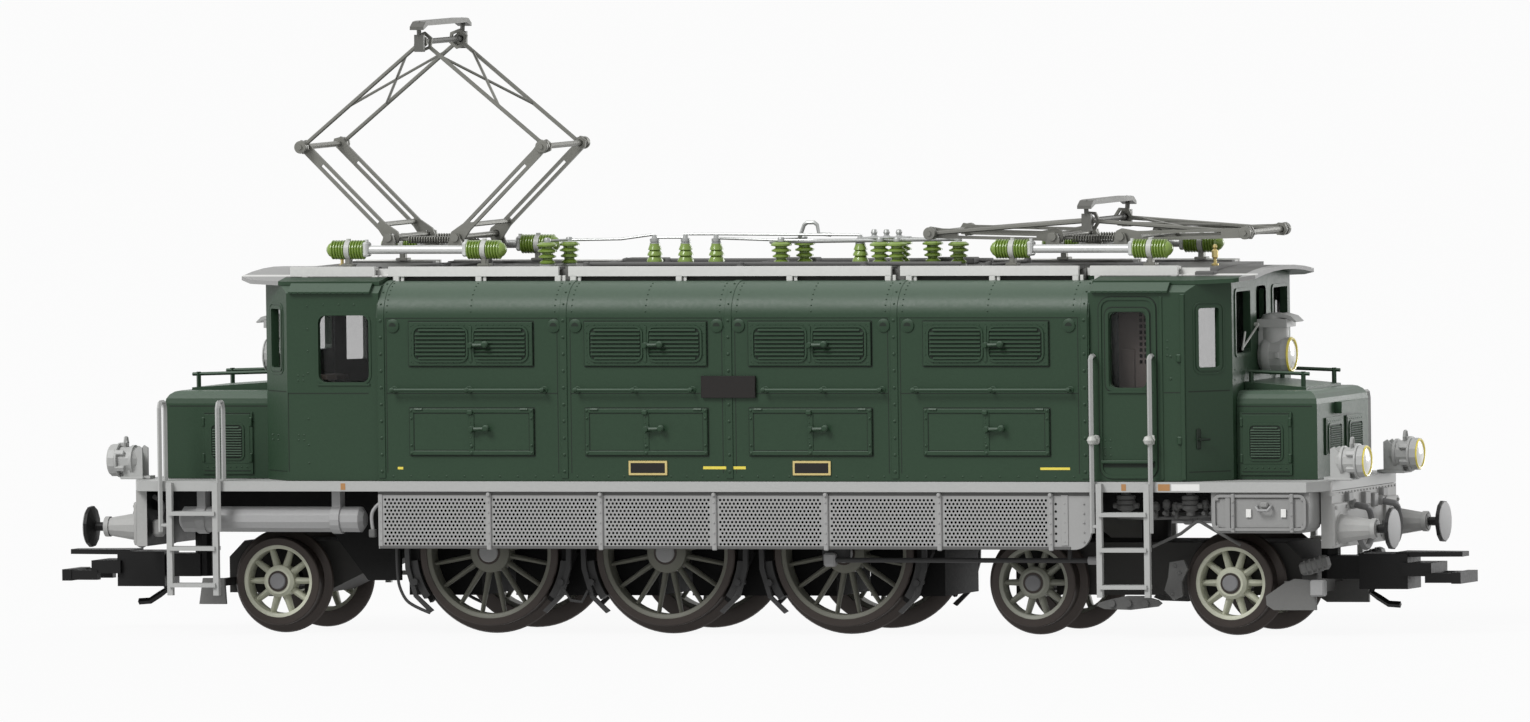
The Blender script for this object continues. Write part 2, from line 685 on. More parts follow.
PANEL_PROUD = 0.00025
LOUVRE_PANELS = ((-0.0399, -0.0238), (-0.0171, -0.0013), (0.0041, 0.0199), (0.0266, 0.0427))
DOOR_LOW = FLOOR_TOP + 0.0032
LOUVRE_HIGH = ROOM_SHOULDER - 0.0005
ROW_GAP = 0.0052        # between the doors and the louvres
DOOR_SHARE = 0.5135     # of the height that the gap leaves to the two rows
DOOR_HIGH = DOOR_LOW + (LOUVRE_HIGH - DOOR_LOW - ROW_GAP) * DOOR_SHARE
LOUVRE_LOW = DOOR_HIGH + ROW_GAP
FRAME_BAR = 0.0006
SLATS = 4


def side_panels(side):
    # Louvre windows and service doors of one side of the machine room, seen along Y
    outer = side * ROOM_HALF_WIDTH
    low, high = sorted((outer - side * EMBED, outer + side * PANEL_PROUD))
    shapes, recesses = [], []
    for left, right in LOUVRE_PANELS:
        middle = (left + right) / 2
        shapes.append(((left, low, LOUVRE_LOW), (right, high, LOUVRE_HIGH)))
        shapes.append(((left, low, DOOR_LOW), (right, high, DOOR_HIGH)))
        for start, end in ((left + FRAME_BAR, middle - FRAME_BAR), (middle + FRAME_BAR, right - FRAME_BAR)):
            pitch = (LOUVRE_HIGH - LOUVRE_LOW - 2 * FRAME_BAR) / SLATS
            for k in range(SLATS):
                bottom = LOUVRE_LOW + FRAME_BAR + k * pitch
                cut_low, cut_high = sorted((outer - side * EMBED, outer + side * 0.001))
                recesses.append(((start, cut_low, bottom + pitch * 0.25), (end, cut_high, bottom + pitch * 0.8)))
    return blocks(shapes), recesses


def make_housing():
    outer = prism(room_section(0), ROOM_LEFT, ROOM_RIGHT, "YZ", name="machine room")
    hollow = prism(room_section(WALL), ROOM_LEFT + WALL, ROOM_RIGHT - WALL, "YZ", name="room hollow")
    below = block((ROOM_LEFT + WALL, -ROOM_HALF_WIDTH + WALL, FLOOR_TOP - WALL),
                  (ROOM_RIGHT - WALL, ROOM_HALF_WIDTH - WALL, FLOOR_TOP + 0.001))
    cutters = [hollow, below]
    pieces = []
    for name, front, room in CABS:
        pieces.append(cab_shell(front, room, 0))
        cutters.append(cab_shell(front, room, WALL))
    recesses = []
    for side in (-1, 1):
        panels, slots = side_panels(side)
        pieces.append(panels)
        recesses += slots
    cutters.append(blocks(recesses))
    rooms = {name: (room, 1 if front > room else -1) for name, front, room in CABS}
    for cab, side, start, end, low, high, rounding in SIDE_WINDOWS:
        room, out = rooms[cab]
        left, right = sorted((room + out * start, room + out * end))
        inner, outside = sorted((side * (CAB_HALF_WIDTH - 0.002), side * (CAB_HALF_WIDTH + 0.001)))
        outline = box_outline(left, right, FLOOR_TOP + low, FLOOR_TOP + high, rounding, 3)
        cutters.append(prism(outline, inner, outside, "XZ"))
    for name, front, room in CABS:
        out = 1 if front > room else -1
        left, right = sorted((front - out * 0.002, front + out * 0.001))
        for y, width, low, high in FRONT_WINDOWS:
            outline = box_outline(y - width / 2, y + width / 2, FLOOR_TOP + low, FLOOR_TOP + high, 0.0005, 2)
            cutters.append(prism(outline, left, right, "YZ"))
        width, low, high = CORNER_WINDOW
        for side in (-1, 1):
            centre, along, normal = corner_frame(front, room, side)
            cutters.append(oriented_box(centre, along, normal, width, 0.004, FLOOR_TOP + low, FLOOR_TOP + high))
    housing = join(outer, *pieces)
    node(cut(housing, *cutters), "housing", "body_green")


GLAZING = 0.0003
GLAZING_FOOT = 0.0106   # above the floor
MOTOR = (-0.0300, 0.0180, 0.0060, 0.0180)   # low x, high x, half width, height


def make_glazing():
    for name, front, room in CABS:
        inset = WALL + SEAT
        out = 1 if front > room else -1
        at_room = room + out * 0.0009
        outline = cab_plan(front, room, inset, at_room)
        inner = cab_plan(front, room, inset + GLAZING, at_room + out * GLAZING)
        band = prism(outline, FLOOR_TOP + GLAZING_FOOT, CAB_EAVE - EMBED, "XY", holes=[inner])
        node(band, "cab_glazing_%s" % name, "glazing")


def make_interiors():
    for name, front, room in CABS:
        inset = WALL + 0.0006
        out = 1 if front > room else -1
        at_room = room + out * 0.0012
        base = FLOOR_TOP + SEAT
        floor_plate = prism(cab_plan(front, room, inset, at_room), base, base + 0.0008, "XY")
        desk_low, desk_high = sorted((front - out * 0.0018, front - out * 0.0048))
        desk = block((desk_low, -0.0090, base + 0.0004), (desk_high, -0.0010, base + 0.0105))
        wheel_x = front - out * 0.0060
        stand = rods([((wheel_x, -0.0050, base + 0.0004), (wheel_x, -0.0050, base + 0.0125))], 0.0006)
        wheel = turned([(0, 0.0004), (0.0022, 0.0004), (0.0022, -0.0002), (0, -0.0002)],
                       (wheel_x, -0.0050, base + 0.0122), (0, 0, 1), 12)
        cupboard_low, cupboard_high = sorted((at_room + out * 0.0004, at_room + out * 0.0030))
        cupboard = block((cupboard_low, 0.0020, base + 0.0004), (cupboard_high, 0.0110, base + 0.0150))
        node(join(floor_plate, desk, stand, wheel, cupboard), "cab_interior_%s" % name, "interior_brown")


def make_motor():
    left, right, half_width, height = MOTOR
    low = FRAME_TOP + SEAT
    motor = block((left, -half_width, low), (right, half_width, low + height))
    node(motor, "motor_block", "chassis_black")


# Roofs

DECK_SPLIT = 0.0457     # where the machine room's deck gives way to the right cab's
BOARDS = (
    # section of the roof, low x, high x
    ("left", -0.0569, -0.0459),
    ("room", -0.0441, -0.0220),
    ("room", -0.0207, 0.0210),
    ("room", 0.0222, 0.0451),
    ("right", 0.0466, 0.0578),
)


def edge_boards(section):
    boxes, planks = [], []
    for where, left, right in BOARDS:
        if where != section:
            continue
        for side in (-1, 1):
            outer, inner = side * BOARD_OUTER, side * (BOARD_OUTER - BOARD_THICKNESS)
            low, high = sorted((outer, inner))
            boxes.append(((left, low, BOARD_TOP - BOARD_HEIGHT), (right, high, BOARD_TOP)))
            low, high = sorted((outer - side * 0.0001, side * (DECK_HALF_WIDTH - 0.0012)))
            planks.append(((left + 0.0001, low, PLANK_TOP - PLANK_THICKNESS),
                           (right - 0.0001, high, PLANK_TOP)))
    return [blocks(boxes), blocks(planks)]


def make_machine_roof():
    base = ROOM_TOP + SEAT
    half = [(DECK_HALF_WIDTH + 0.0008, base), (DECK_HALF_WIDTH, DECK_TOP - 0.0001), (0.004, DECK_TOP)]
    deck = prism(mirrored(half), ROOM_LEFT + EMBED + SEAT, DECK_SPLIT - SEAT, "YZ")
    node(join(deck, *edge_boards("room")), "machine_roof", "roof_grey")


def make_cab_roofs():
    for name, front, room in CABS:
        out = 1 if front > room else -1
        lip = front + out * ROOF_OVERHANG
        corner = front - out * CAB_CORNER * 0.8
        round_start = lip - out * 0.0020
        half = [(room + out * SEAT, ROOF_HALF_WIDTH), (corner, ROOF_HALF_WIDTH),
                (round_start, ROOF_LIP_HALF_WIDTH), (lip, ROOF_LIP_HALF_WIDTH - 0.0024)]
        outline = half + [(x, -y) for x, y in reversed(half)]
        plan = prism(outline, ROOF_EDGE - 0.002, ROOF_CROWN + 0.001, "XY")
        left, right = sorted((room, lip + out * 0.001))
        arch = roof_arch(0, ROOF_HALF_WIDTH + 0.0002, 8)
        under = roof_arch(ROOF_SHEET, ROOF_HALF_WIDTH + 0.0002, 8)
        sheet = prism(arch + list(reversed(under)), left, right, "YZ")
        sheet = common(sheet, plan)
        deck_end = front - out * 0.0030
        deck_start = DECK_SPLIT if name == "right" else room + out * EMBED
        low, high = sorted((deck_start, deck_end))
        bedded = roof_arch(ROOF_SHEET * 0.5, DECK_HALF_WIDTH, 6)
        deck = prism(bedded + [(-DECK_HALF_WIDTH, DECK_TOP), (DECK_HALF_WIDTH, DECK_TOP)], low, high, "YZ")
        pieces = [deck, *edge_boards(name)]
        if name == "right":
            # this deck starts over the machine room
            low = (DECK_SPLIT + SEAT, -DECK_HALF_WIDTH + SEAT, ROOM_TOP + SEAT)
            pieces.append(block(low, (room - EMBED - SEAT, DECK_HALF_WIDTH - SEAT, DECK_TOP - SEAT)))
        node(join(sheet, *pieces), "cab_roof_%s" % name, "roof_grey")


# Bonnets

HOOD_DOOR_SETBACK = {1: 0.0032, -1: 0.0049}     # from the front to the door, at the right and left end


def slat_heights(low, high):
    # Bottom and top of each slot between two heights
    pitch = (high - low - HOOD_SLOT_EDGE) / HOOD_SLATS
    return [(low + HOOD_SLOT_EDGE * 0.6 + k * pitch, low + HOOD_SLOT_EDGE * 0.6 + (k + 0.5) * pitch)
            for k in range(HOOD_SLATS)]


def hood_panels(front, out):
    # Louvred doors on the sides, louvred panels on the front, and what cuts their slots
    boxes, slots = [], []
    depth = 0.0001          # how far a slot goes into the bonnet's face
    door_start = front - out * HOOD_DOOR_SETBACK[out]
    left, right = sorted((door_start, door_start - out * HOOD_DOOR_WIDTH))
    low, high = FLOOR_TOP + HOOD_DOOR_LOW, FLOOR_TOP + HOOD_DOOR_HIGH
    louvre_low = low + (high - low) * 0.25
    for side in (-1, 1):
        face = side * HOOD_HALF_WIDTH
        near, far = sorted((face - side * EMBED, face + side * PANEL_PROUD))
        boxes.append(((left, near, low), (right, far, high)))
        near, far = sorted((face - side * depth, face + side * 2 * PANEL_PROUD))
        slots += [((left + HOOD_SLOT_EDGE, near, bottom), (right - HOOD_SLOT_EDGE, far, top))
                  for bottom, top in slat_heights(louvre_low, high)]
    low, high = FLOOR_TOP + FRONT_PANEL_LOW, FLOOR_TOP + FRONT_PANEL_HIGH
    for side in (-1, 1):
        y = side * FRONT_PANEL_Y
        near, far = sorted((front - out * EMBED, front + out * PANEL_PROUD))
        boxes.append(((near, y - FRONT_PANEL_HALF_WIDTH, low), (far, y + FRONT_PANEL_HALF_WIDTH, high)))
        near, far = sorted((front - out * depth, front + out * 2 * PANEL_PROUD))
        inner = FRONT_PANEL_HALF_WIDTH - HOOD_SLOT_EDGE * 0.5
        slots += [((near, y - inner, bottom), (far, y + inner, top)) for bottom, top in slat_heights(low, high)]
    return blocks(boxes), blocks(slots)


def make_hoods():
    for name, front, cab in (("left", HOOD_LEFT_FRONT, CAB_LEFT_FRONT),
                             ("right", HOOD_RIGHT_FRONT, CAB_RIGHT_FRONT)):
        out = 1 if front > cab else -1
        back = cab + out * SEAT
        base = FLOOR_TOP + SEAT
        # y and z of the section, tall enough for the side profile to cut its top
        edge = HOOD_HALF_WIDTH - HOOD_ROUND
        spare = 0.00005
        rounded = arc((edge, HOOD_FRONT_TOP + spare - HOOD_ROUND), HOOD_ROUND, 0, 90, 4)
        half = [(HOOD_HALF_WIDTH, base - spare)] + rounded
        low, high = sorted((front + out * spare, back - out * spare))
        section = prism(mirrored(half), low, high, "YZ")
        # the lid's slope, seen from the side, with the rounded front edge
        profile = [(back, base), (back, HOOD_FRONT_TOP)]
        turn = arc((front - out * HOOD_ROUND, HOOD_FRONT_TOP - HOOD_ROUND), HOOD_ROUND,
                   90, 0 if out > 0 else 180, 4)
        profile += turn + [(front, base)]
        side = prism(profile, -HOOD_HALF_WIDTH - 0.001, HOOD_HALF_WIDTH + 0.001, "XZ")
        hood = common(section, side)
        lid_back = back + out * SEAT
        lid_profile = [(lid_back, HOOD_FRONT_TOP - EMBED), (lid_back, HOOD_CAB_TOP),
                       (front - out * 0.0024, HOOD_FRONT_TOP + 0.0003),
                       (front - out * 0.0024, HOOD_FRONT_TOP - EMBED)]
        lid = prism(lid_profile, -0.0068, 0.0068, "XZ")
        rail_top = HOOD_FRONT_TOP + 0.0016
        pieces = [lid]
        posts, bars = [], []
        rail_ends = (back + out * 0.0006, front - out * 0.0030)
        for y in (-0.0060, 0.0060):
            for x in rail_ends:
                posts.append(((x, y, HOOD_FRONT_TOP), (x, y, rail_top + 0.0006)))
            bars.append(((rail_ends[0] - out * 0.0003, y, rail_top + 0.0006),
                         (rail_ends[1] + out * 0.0008, y, rail_top + 0.0003)))
        pieces.append(rods(posts, 0.0003, 4))
        pieces.append(rods(bars, 0.00022, 4))
        panels, slots = hood_panels(front, out)
        pieces.append(panels)
        lamp_box_top = HOOD_FRONT_TOP - HOOD_ROUND
        near, far = sorted((front - out * EMBED, front + out * LAMP_BOX_DEPTH))
        pieces.append(block((near, -LAMP_BOX_HALF_WIDTH, lamp_box_top - LAMP_BOX_HEIGHT),
                            (far, LAMP_BOX_HALF_WIDTH, lamp_box_top)))
        node(cut(join(hood, *pieces), slots), "hood_%s" % name, "body_green")


# Fittings

def make_headlamps():
    for end_name, end in (("left", -1), ("right", 1)):
        for side_name, side in (("near", -1), ("far", 1)):
            lens = end * LAMP_LENS
            body = LAMP_RADIUS - 0.0003
            profile = [(0, 0), (LAMP_RADIUS, 0), (LAMP_RADIUS, -0.0008), (body, -0.0009),
                       (body, -LAMP_LENGTH + 0.0006), (body - 0.0005, -LAMP_LENGTH), (0, -LAMP_LENGTH)]
            place = (lens, side * LAMP_Y, LAMP_HEIGHT)
            lamp = turned(profile, place, (end, 0, 0))
            back = LAMP_LENS - LAMP_LENGTH
            y = side * LAMP_Y
            foot_x = sorted((end * (back - 0.0016), end * (back + 0.0014)))
            post_x = sorted((end * (back + 0.0002), end * (back + 0.0012)))
            foot = block((foot_x[0], y - 0.0009, FLOOR_TOP + SEAT), (foot_x[1], y + 0.0009, FLOOR_TOP + 0.0004))
            post = block((post_x[0], y - 0.0006, FLOOR_TOP + 0.0002), (post_x[1], y + 0.0006, LAMP_HEIGHT))
            ring_x = end * (LAMP_LENS - 0.0018)
            ring_z = LAMP_HEIGHT + LAMP_RADIUS
            loop = [(ring_x, y + 0.0006 * cos(a), ring_z + 0.0009 * sin(a))
                    for a in [radians(t) for t in range(-50, 231, 56)]]
            ring = wire(loop, 0.00018)
            node(join(lamp, foot, post, ring), "headlamp_%s_%s" % (end_name, side_name), "frame_grey")


def make_top_lamps():
    for name, front, room in CABS:
        out = 1 if front > room else -1
        back = front + out * SEAT
        profile = [(0, TOP_LAMP_LENGTH), (TOP_LAMP_RADIUS - 0.0002, TOP_LAMP_LENGTH),
                   (TOP_LAMP_RADIUS, TOP_LAMP_LENGTH - 0.0008), (TOP_LAMP_RADIUS, 0.0006),
                   (TOP_LAMP_RADIUS - 0.0005, 0), (0, 0)]
        lamp = turned(profile, (back, 0, TOP_LAMP_HEIGHT), (out, 0, 0), 16)
        low, high = sorted((back, back + out * 0.0028))
        chimney = block((low, -0.0013, TOP_LAMP_HEIGHT), (high, 0.0013, TOP_LAMP_HEIGHT + 0.0038))
        low, high = sorted((back, back + out * 0.0038))
        visor = block((low, -0.0018, TOP_LAMP_HEIGHT + 0.0034), (high, 0.0018, TOP_LAMP_HEIGHT + 0.0044))
        node(join(lamp, chimney, visor), "upper_lamp_%s" % name, "frame_grey")


TANK = (-0.0710, -0.0468, 0.0138, 0.0142, 0.0016)    # low x, high x, y, z, radius
TANK_STRAPS = (0.0030, 0.0036)     # from the tank's ends to its straps
STRAP_HALF_WIDTH = 0.0006
STRAP = 0.00018         # thickness


def make_tanks():
    left, right, y, z, radius = TANK
    length = right - left
    for name, turn in (("air_tank_near", -1), ("air_tank_far", 1)):
        profile = [(0, length), (radius * 0.6, length - 0.0001), (radius, length - 0.0006),
                   (radius, 0.0006), (radius * 0.6, 0.0001), (0, 0)]
        start = (left, -y, z) if turn < 0 else (-left, y, z)
        body = turned(profile, start, (-turn, 0, 0))
        straps, bands = [], []
        for x in (left + TANK_STRAPS[0], right - TANK_STRAPS[1]):
            x = x if turn < 0 else -x
            straps.append(((x - STRAP_HALF_WIDTH * 0.9, turn * y - radius * 0.55, z),
                           (x + STRAP_HALF_WIDTH * 0.9, turn * y + radius * 0.55, FLOOR_BOTTOM - SEAT)))
            bands.append(((x - STRAP_HALF_WIDTH, turn * y, z), (x + STRAP_HALF_WIDTH, turn * y, z)))
        node(join(body, blocks(straps), rods(bands, radius + STRAP, 16)), name, "frame_grey")


TOOLBOX = (0.0632, 0.0757, 0.0120, 0.0165, 0.0128)    # low x, high x, inner y, outer y, bottom
TOOLBOX_ROUND = 0.0012
TOOLBOX_RIM = 0.0007
TOOLBOX_STRAP = 0.0022    # from a strap to the end of the box


def hanging_outline(left, right, bottom, top, rounding):
    # A box outline whose two lower corners are round
    return (arc((left + rounding, bottom + rounding), rounding, 180, 270, 3)
            + arc((right - rounding, bottom + rounding), rounding, -90, 0, 3) + [(right, top), (left, top)])


def make_toolboxes():
    left, right, inner, outer, bottom = TOOLBOX
    for name, turn in (("toolbox_near", -1), ("toolbox_far", 1)):
        xs = (left, right) if turn < 0 else (-right, -left)
        ys = sorted((turn * inner, turn * outer))
        top = FLOOR_BOTTOM - SEAT
        box = prism(hanging_outline(xs[0], xs[1], bottom, top, TOOLBOX_ROUND), ys[0], ys[1], "XZ")
        proud = sorted((turn * (outer - EMBED), turn * (outer + EMBED)))
        face = prism(hanging_outline(xs[0] + TOOLBOX_RIM, xs[1] - TOOLBOX_RIM, bottom + TOOLBOX_RIM,
                                     top - TOOLBOX_RIM, TOOLBOX_ROUND * 0.6), proud[0], proud[1], "XZ")
        proud = sorted((turn * (outer - EMBED), turn * (outer + EMBED + STRAP)))
        straps = blocks([((x - STRAP_HALF_WIDTH / 2, proud[0], bottom + TOOLBOX_RIM * 0.6),
                          (x + STRAP_HALF_WIDTH / 2, proud[1], top - TOOLBOX_RIM * 0.6))
                         for x in (xs[0] + TOOLBOX_STRAP, xs[1] - TOOLBOX_STRAP)])
        node(join(box, face, straps), name, "frame_grey")


LADDERS = (
    # name, turn, side rail x, side rail x, rungs z, handrail x, handrail x, kind of handrail
    ("ladder_near_left", -1, -0.0711, -0.0651, (0.0150, 0.0107, 0.0062), -0.0723, -0.0647, "hairpin"),
    ("ladder_near_right", -1, 0.0492, 0.0553, (0.0150, 0.0107, 0.0062), 0.0483, 0.0558, "tall"),
    ("ladder_far_right", 1, -0.0711, -0.0651, (0.0150, 0.0107, 0.0062), -0.0723, -0.0647, "hairpin"),
    ("ladder_far_left", 1, 0.0492, 0.0553, (0.0150, 0.0107, 0.0062), 0.0483, 0.0558, "tall"),
)
LADDER_Y = FLOOR_HALF_WIDTH + SEAT
RAIL_RADIUS = 0.00030
HAIRPIN_TOP = 0.0289
TALL_TOP = 0.0343


def make_ladders():
    # Modelled on the near side, and turned half a turn about Z for the far side
    for name, turn, first, second, rungs, rail_1, rail_2, kind in LADDERS:
        inner, outer = -LADDER_Y, -LADDER_Y - 0.0007
        stiles = blocks([((x - 0.00035, outer, rungs[-1] - 0.0012), (x + 0.00035, inner, FLOOR_TOP - 0.0002))
                         for x in (first, second)])
        steps = blocks([((first, outer - 0.0003, z - 0.0002), (second, inner + 0.0012, z + 0.0003))
                        for z in rungs])
        pieces = [steps]
        rail_y = outer + 0.0003
        low = rungs[0] - 0.0022
        if kind == "hairpin":
            for x in (rail_1, rail_2):
                bend = [(x, rail_y + 0.0010 + 0.0010 * cos(a), HAIRPIN_TOP - 0.0010 + 0.0010 * sin(a))
                        for a in [radians(t) for t in (180, 130, 50, 0)]]
                path = [(x, rail_y, low)] + bend + [(x, rail_y + 0.0020, FLOOR_TOP + SEAT)]
                pieces.append(wire(path, RAIL_RADIUS))
        else:
            for x in (rail_1, rail_2):
                path = [(x, rail_y, low), (x, rail_y, TALL_TOP - 0.0004),
                        (x, rail_y + 0.0003, TALL_TOP), (x, -CAB_HALF_WIDTH - SEAT, TALL_TOP)]
                pieces.append(wire(path, RAIL_RADIUS))
        ties = [((x_rail, rail_y, rungs[0] - 0.0014), (x_stile, rail_y, rungs[0] - 0.0014))
                for x_rail, x_stile in ((rail_1, first), (rail_2, second))]
        pieces.append(rods(ties, 0.00022, 6))
        made = node(join(stiles, *pieces), name, "frame_grey")
        if turn > 0:
            half_turn = Matrix.Rotation(pi, 4, "Z")
            for piece in (made, *pieces):
                piece.matrix_world = half_turn @ piece.matrix_world


# Bogie, carrying-axle truck and couplers

PIVOT_RADIUS = 0.0018
PIVOT_TOP = END_FRAME_BOTTOM - SEAT


GUARD_PLANE = (0.0101, 0.0106)  # y of a rail guard's two faces
GUARD_BAR = (0.0058, 0.0067)    # z of the bar that carries the guards
GUARD_BAR_DEPTH = 0.0007
BOGIE_GUARD = (
    # outline of a rail guard: x out from its bar, z
    (-0.0013, 0.0032), (-0.0022, 0.0038), (-0.0023, 0.0049), (0.0000, 0.0064), (0.0014, 0.0070), (0.0041, 0.0068),
    (0.0041, 0.0032),
)
PONY_GUARD = (
    # the carrying axle's guards are plain blocks
    (-0.0004, 0.0036), (-0.0002, 0.0068), (0.0026, 0.0068), (0.0031, 0.0036),
)


def rail_guards(x, end, outline):
    # Two guards ahead of the outer wheels, and the bar between them, which starts at x
    placed = [(x + end * u, z) for u, z in outline]
    shapes = []
    for side in (-1, 1):
        low, high = sorted((side * GUARD_PLANE[0], side * GUARD_PLANE[1]))
        shapes.append(prism(placed, low, high, "XZ"))
    low, high = sorted((x, x + end * GUARD_BAR_DEPTH))
    reach = GUARD_PLANE[0] + EMBED
    bar = block((low, -reach, GUARD_BAR[0]), (high, reach, GUARD_BAR[1]))
    return [bar, *shapes]


def make_bogie():
    first, second = AXLES["bogie_wheelset_1"], AXLES["bogie_wheelset_2"]
    low, top = 0.0048, 0.0112
    outline = [(first - 0.0034, low)] + axle_notch(first, CARRYING_AXLE, CARRYING_HUB, low)
    outline += axle_notch(second, CARRYING_AXLE, CARRYING_HUB, low)
    outline += [(second + 0.0080, low), (second + 0.0080, top - 0.0020), (second + 0.0060, top),
                (first - 0.0034, top)]
    frame = prism(outline, -FRAME_HALF_WIDTH, FRAME_HALF_WIDTH, "XZ")
    pivot = rods([((BOGIE_PIVOT, 0, top - EMBED), (BOGIE_PIVOT, 0, PIVOT_TOP))], PIVOT_RADIUS, 16)
    guards = rail_guards(second + 0.0070, 1, BOGIE_GUARD)
    node(join(frame, pivot, *guards), "bogie_frame", "chassis_black")


def make_pony():
    axle = AXLES["pony_wheelset"]
    low, top = 0.0048, 0.0112
    outline = [(axle - 0.0080, low)] + axle_notch(axle, CARRYING_AXLE, CARRYING_HUB, low)
    outline += [(axle + 0.0044, low), (PONY_PIVOT + 0.0010, 0.0088), (PONY_PIVOT + 0.0010, top),
                (axle - 0.0060, top), (axle - 0.0080, top - 0.0020)]
    frame = prism(outline, -FRAME_HALF_WIDTH + 0.0010, FRAME_HALF_WIDTH - 0.0010, "XZ")
    pivot = rods([((PONY_PIVOT, 0, 0.0096), (PONY_PIVOT, 0, PIVOT_TOP))], PIVOT_RADIUS, 16)
    guards = rail_guards(axle - 0.0070, -1, PONY_GUARD)
    node(join(frame, pivot, *guards), "pony_frame", "chassis_black")


COUPLER_POST = 0.0012
COUPLER_BLOCKS = (
    # piece, low x, high x, half width, low z, high z
    ("shank", COUPLER_PIVOT, 0.0800, 0.0018, 0.0066, 0.0094),
    ("body", 0.0774, 0.0836, 0.0026, 0.0054, 0.0097),
    ("jaw", 0.0830, 0.0868, 0.0032, 0.0070, 0.0086),
    ("bar", COUPLER_TIP - 0.0012, COUPLER_TIP, 0.0034, 0.0061, 0.0075),
)
COUPLER_PRONG = (0.0860, 0.0027, 0.0012, 0.0062, 0.0074)   # low x, y, width, low z, high z
COUPLER_PLATE = (0.0820, 0.0902, 0.0024, 0.0013, 0.0093, 0.0099)  # x range, half widths, z range
COUPLER_LEVER = (
    # x, z of the uncoupling lever, which hangs below the body
    (0.0784, 0.0060), (0.0781, 0.0049), (0.0790, 0.0043), (0.0803, 0.0035), (0.0818, 0.0034),
)


def make_couplers():
    for name, end in (("coupler_left", -1), ("coupler_right", 1)):
        def x_range(low, high):
            return tuple(sorted((end * low, end * high)))
        low_z = COUPLER_BLOCKS[0][4]
        post = rods([((end * COUPLER_PIVOT, 0, low_z), (end * COUPLER_PIVOT, 0, PIVOT_TOP))], COUPLER_POST, 12)
        pieces = []
        for piece, low_x, high_x, half_width, low_z, high_z in COUPLER_BLOCKS:
            low, high = x_range(low_x, high_x)
            pieces.append(block((low, -half_width, low_z), (high, half_width, high_z), name=piece))
        start, y, width, low_z, high_z = COUPLER_PRONG
        low, high = x_range(start, COUPLER_TIP - 0.0004)
        pieces.append(blocks([((low, side * y - width / 2, low_z), (high, side * y + width / 2, high_z))
                              for side in (-1, 1)]))
        start, tip, wide, narrow, low_z, high_z = COUPLER_PLATE
        outline = [(end * start, -wide), (end * tip, -narrow), (end * tip, narrow), (end * start, wide)]
        pieces.append(prism(outline, low_z, high_z, "XY"))
        pieces.append(wire([(end * x, 0, z) for x, z in COUPLER_LEVER], 0.0004))
        node(join(post, *pieces), name, "buffer_black")


# Current collectors

def knee(angle):
    # Place of a knee shaft, out from the middle and up from the floor
    return (PANTO_PIVOT + LOWER_ARM * cos(angle), PANTO_PIVOT_HEIGHT + LOWER_ARM * sin(angle))


def head_height(angle):
    out, height = knee(angle)
    return height + sqrt(UPPER_ARM ** 2 - out ** 2)


def arm_frame(start, end):
    # Turns a shape drawn along +x, with y up, to lie from start to end in the XZ plane
    angle = atan2(end[1] - start[1], end[0] - start[0])

    def place(point):
        x, z = point
        return (start[0] + x * cos(angle) - z * sin(angle), start[1] + x * sin(angle) + z * cos(angle))
    return place


def make_lower_arm(name, centre, out, plate_y, angle):
    knee_out, knee_height = knee(angle)
    start = (centre + out * PANTO_PIVOT, PANTO_PIVOT_HEIGHT)
    end = (centre + out * knee_out, knee_height)
    place = arm_frame(start, end)
    lift = -1 if out < 0 else 1
    eye = SHAFT_RADIUS + RUN + 0.0005
    length = LOWER_ARM
    width = 0.0006
    outline = arc((0, 0), eye, 90, 270, 4)
    outline += [(length * 0.12, -width), (length - 0.0012, -width), (length + 0.0006, -0.0006),
                (length + 0.0009, 0.0), (length + 0.0004, 0.0008), (length - 0.0012, width),
                (length * 0.12, width)]
    slot = [(length * 0.16, -0.00022), (length * 0.80, -0.00022), (length * 0.80, 0.00022), (length * 0.16, 0.00022)]
    bore = arc((0, 0), SHAFT_RADIUS + RUN, 0, 315, 7)
    outline = [place((x, z * lift)) for x, z in outline]
    holes = [[place((x, z * lift)) for x, z in hole] for hole in (slot, bore)]
    plates = [prism(outline, y - ARM_PLATE / 2, y + ARM_PLATE / 2, "XZ", holes=holes) for y in (-plate_y, plate_y)]
    reach = max(plate_y, TUBE_Y_A if plate_y == ARM_Y_A else TUBE_Y_B) + 0.0004
    shaft = rods([((end[0], -reach, end[1]), (end[0], reach, end[1]))], SHAFT_RADIUS, 8)
    near = place((length * 0.14, 0))
    tie = rods([((near[0], -plate_y, near[1]), (near[0], plate_y, near[1]))], 0.0003, 6)
    return node(join(plates[0], plates[1], shaft, tie), name, "panto_metal")


